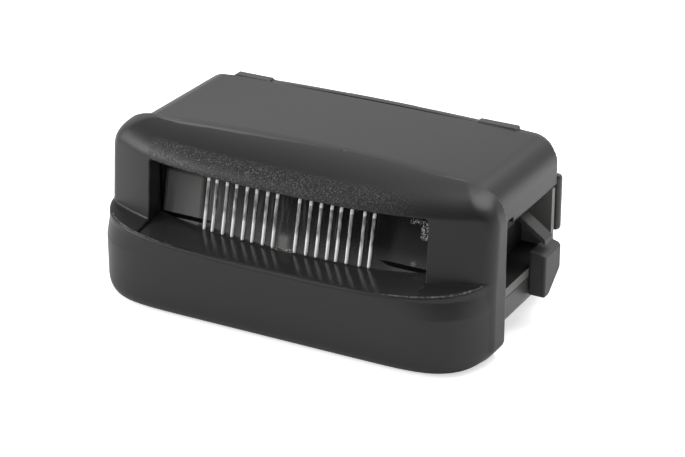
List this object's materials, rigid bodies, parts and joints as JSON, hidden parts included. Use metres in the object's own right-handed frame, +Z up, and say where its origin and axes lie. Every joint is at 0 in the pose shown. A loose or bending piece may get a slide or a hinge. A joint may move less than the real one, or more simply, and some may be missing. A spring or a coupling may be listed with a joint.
{
  "type": "number plate lamp",
  "caption": "Number plate lamp for a van or car: black snap-in housing with a bowed chin, a ribbed clear lens in a long window, a swept face and side latches",
  "frame": {"origin": "centre of the bounding box in plan, at the height of the chin's lowest line", "axes": "+X to the right along the lamp's width, +Y from the chin to the rear plate, +Z up"},
  "size_m": [0.1066, 0.058, 0.0436],
  "materials": {
    "black_plastic": "moulded satin black, fine grain on the brow",
    "grey_plastic": "moulded dark grey, smooth",
    "seal_rubber": "soft black, dull",
    "screw_steel": "zinc plated",
    "clear_lens": "clear moulded plastic, polished",
    "gloss_black": "polished black",
    "reflector_plastic": "light grey, smooth",
    "bulb_glass": "clear",
    "bulb_metal": "drawn, smooth",
    "contact_brass": "stamped strip",
    "latch_plastic": "moulded dark grey, smooth"
  },
  "bodies": {
    "root": {"cover": "black_plastic", "base": "grey_plastic", "carrier": "black_plastic", "rear_plate": "grey_plastic", "plate_seal": "seal_rubber", "plate_screws": "screw_steel", "lens": "clear_lens", "lens_seal": "seal_rubber", "lens_tray": "gloss_black", "reflector": "reflector_plastic", "bulb_glass": "bulb_glass", "bulb_cap_left": "bulb_metal", "bulb_cap_right": "bulb_metal", "contact_left": "contact_brass", "contact_right": "contact_brass", "rail_left": "contact_brass", "rail_right": "contact_brass", "connector_socket": "black_plastic", "latch_left": "latch_plastic", "latch_right": "latch_plastic"}
  },
  "joints": []
}
